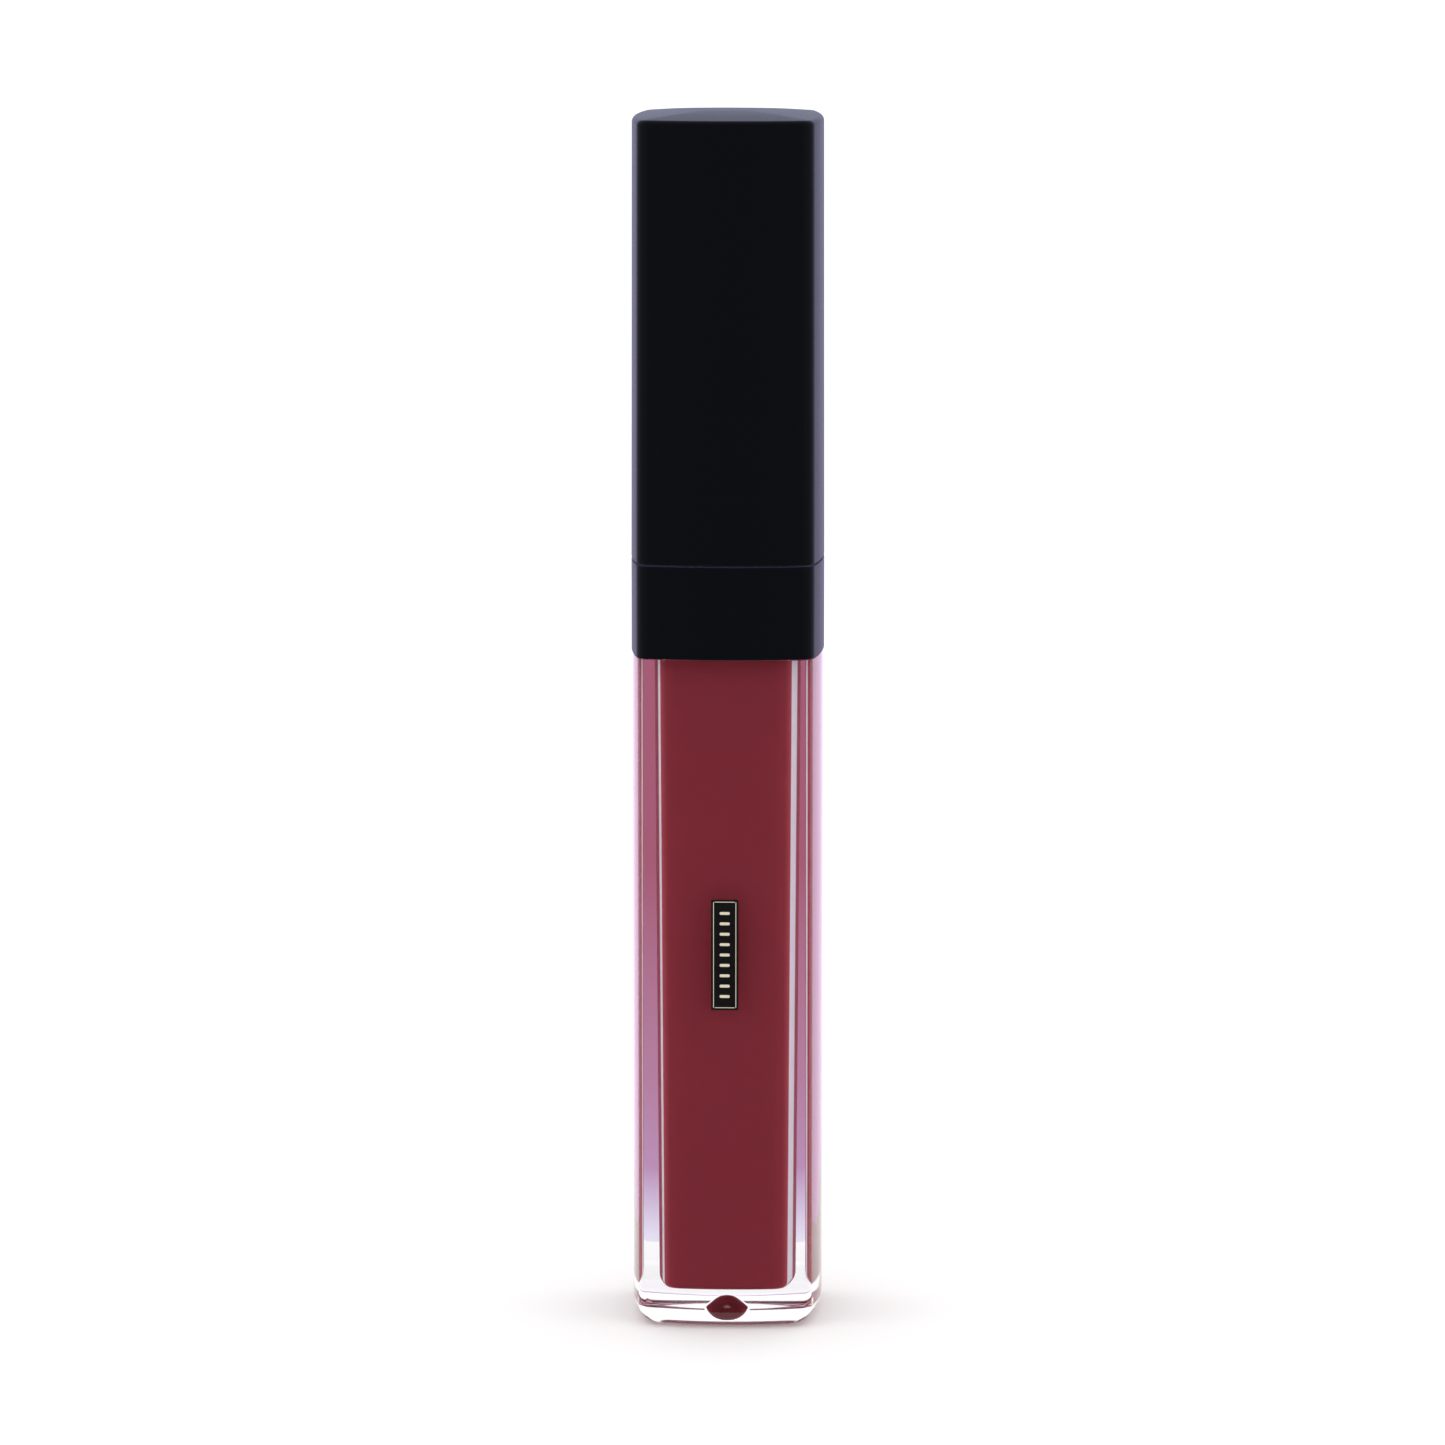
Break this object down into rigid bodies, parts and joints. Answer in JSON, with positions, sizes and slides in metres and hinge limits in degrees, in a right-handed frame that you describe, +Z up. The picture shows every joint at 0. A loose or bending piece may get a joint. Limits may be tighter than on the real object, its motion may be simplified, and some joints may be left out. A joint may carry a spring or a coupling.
{
  "type": "square lip gloss tube",
  "caption": "Upright square cosmetic tube with a thick clear bottle of dark red gloss, a black collar and a tall black screw cap that carries a wiped, flocked wand.",
  "frame": {"origin": "centre of the flat base, where the tube's axis meets the surface it stands on", "axes": "+Z up along the tube's axis towards the cap, -Y out of the labelled front, +X to the right of the label"},
  "size_m": [0.0174, 0.0174, 0.11],
  "materials": {
    "clear_plastic": "polished clear",
    "red_gloss": "wet opaque liquid",
    "natural_plastic": "milky satin",
    "soft_black": "soft-touch matte black",
    "black_plastic": "satin black",
    "foam": "closed-cell foam",
    "steel": "turned",
    "flock": "short nylon flock stained with gloss",
    "label_ink": "flat dark print"
  },
  "bodies": {
    "bottle": {"bottle": "clear_plastic", "product_fill": "red_gloss", "neck_insert": "natural_plastic", "collar": "soft_black", "front_label": "label_ink"},
    "wiper_seal": {"wiper": "natural_plastic"},
    "liner": {"cap_gasket": "foam"},
    "cap": {"cap_shell": "soft_black", "inner_cap": "black_plastic", "cap_weight": "steel", "stem": "black_plastic", "applicator_core": "natural_plastic", "applicator_flock": "flock"}
  },
  "joints": [
    {"name": "cap_unscrew", "type": "hinge", "parent": "bottle", "child": "wiper_seal", "pos_m": [0, 0, 0.0735], "axis": [0, 0, 1], "range_deg": [0, 540]},
    {"name": "wand_pull", "type": "slide", "parent": "wiper_seal", "child": "liner", "axis": [0, 0, 1], "range_m": [0, 0.08]},
    {"name": "thread_rise", "type": "slide", "parent": "liner", "child": "cap", "axis": [0, 0, 1], "range_m": [0, 0.0045]}
  ],
  "couplings": [
    {"joint": "thread_rise", "follows": "cap_unscrew", "m_per_rad": 0.00047746}
  ]
}
